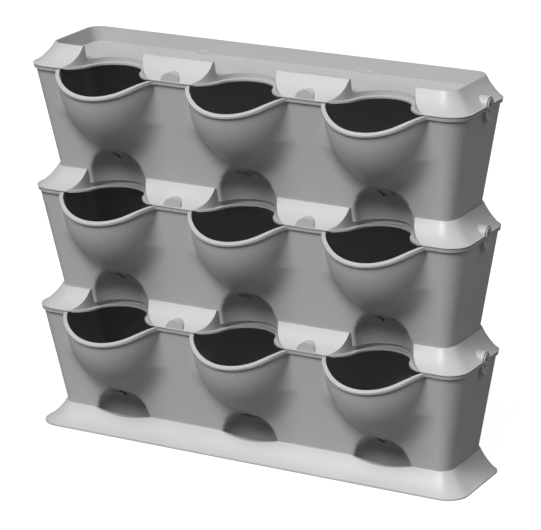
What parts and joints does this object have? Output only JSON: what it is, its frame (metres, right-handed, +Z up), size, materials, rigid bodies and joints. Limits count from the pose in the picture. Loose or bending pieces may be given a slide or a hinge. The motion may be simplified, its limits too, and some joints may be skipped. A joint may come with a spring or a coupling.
{
  "type": "vertical wall planter",
  "caption": "Stacking plastic wall planter: long tapered troughs with bulging pot bowls along the front, each under a sloped lid, standing on a drip tray.",
  "frame": {"origin": "middle of the tray's footprint, on the ground it stands on", "axes": "+X along the planter to the right as seen from the front, +Y back towards the wall, +Z up"},
  "size_m": [0.6532, 0.1908, 0.545],
  "materials": {
    "planter_plastic": "moulded polypropylene, satin, fine grain",
    "bush_plastic": "moulded polypropylene, satin"
  },
  "bodies": {
    "base_tray": {"base_tray": "planter_plastic"},
    "trough_bottom": {"trough_bottom": "planter_plastic"},
    "lid_bottom": {"lid_bottom": "planter_plastic"},
    "hose_bush_left_bottom": {"hose_bush_left_bottom": "bush_plastic"},
    "hose_bush_right_bottom": {"hose_bush_right_bottom": "bush_plastic"},
    "trough_middle": {"trough_middle": "planter_plastic"},
    "lid_middle": {"lid_middle": "planter_plastic"},
    "hose_bush_left_middle": {"hose_bush_left_middle": "bush_plastic"},
    "hose_bush_right_middle": {"hose_bush_right_middle": "bush_plastic"},
    "trough_top": {"trough_top": "planter_plastic"},
    "lid_top": {"lid_top": "planter_plastic"},
    "hose_bush_left_top": {"hose_bush_left_top": "bush_plastic"},
    "hose_bush_right_top": {"hose_bush_right_top": "bush_plastic"}
  },
  "joints": [
    {"name": "trough_bottom_lift", "type": "slide", "parent": "base_tray", "child": "trough_bottom", "axis": [0, 0, 1], "range_m": [0, 0.05]},
    {"name": "lid_bottom_lift", "type": "slide", "parent": "trough_bottom", "child": "lid_bottom", "axis": [0, 0, 1], "range_m": [0, 0.05]},
    {"name": "hose_bush_left_bottom_pull", "type": "slide", "parent": "trough_bottom", "child": "hose_bush_left_bottom", "axis": [-1, 0, 0], "range_m": [0, 0.02]},
    {"name": "hose_bush_right_bottom_pull", "type": "slide", "parent": "trough_bottom", "child": "hose_bush_right_bottom", "axis": [1, 0, 0], "range_m": [0, 0.02]},
    {"name": "trough_middle_lift", "type": "slide", "parent": "lid_bottom", "child": "trough_middle", "axis": [0, 0, 1], "range_m": [0, 0.05]},
    {"name": "lid_middle_lift", "type": "slide", "parent": "trough_middle", "child": "lid_middle", "axis": [0, 0, 1], "range_m": [0, 0.05]},
    {"name": "hose_bush_left_middle_pull", "type": "slide", "parent": "trough_middle", "child": "hose_bush_left_middle", "axis": [-1, 0, 0], "range_m": [0, 0.02]},
    {"name": "hose_bush_right_middle_pull", "type": "slide", "parent": "trough_middle", "child": "hose_bush_right_middle", "axis": [1, 0, 0], "range_m": [0, 0.02]},
    {"name": "trough_top_lift", "type": "slide", "parent": "lid_middle", "child": "trough_top", "axis": [0, 0, 1], "range_m": [0, 0.05]},
    {"name": "lid_top_lift", "type": "slide", "parent": "trough_top", "child": "lid_top", "axis": [0, 0, 1], "range_m": [0, 0.05]},
    {"name": "hose_bush_left_top_pull", "type": "slide", "parent": "trough_top", "child": "hose_bush_left_top", "axis": [-1, 0, 0], "range_m": [0, 0.02]},
    {"name": "hose_bush_right_top_pull", "type": "slide", "parent": "trough_top", "child": "hose_bush_right_top", "axis": [1, 0, 0], "range_m": [0, 0.02]}
  ]
}
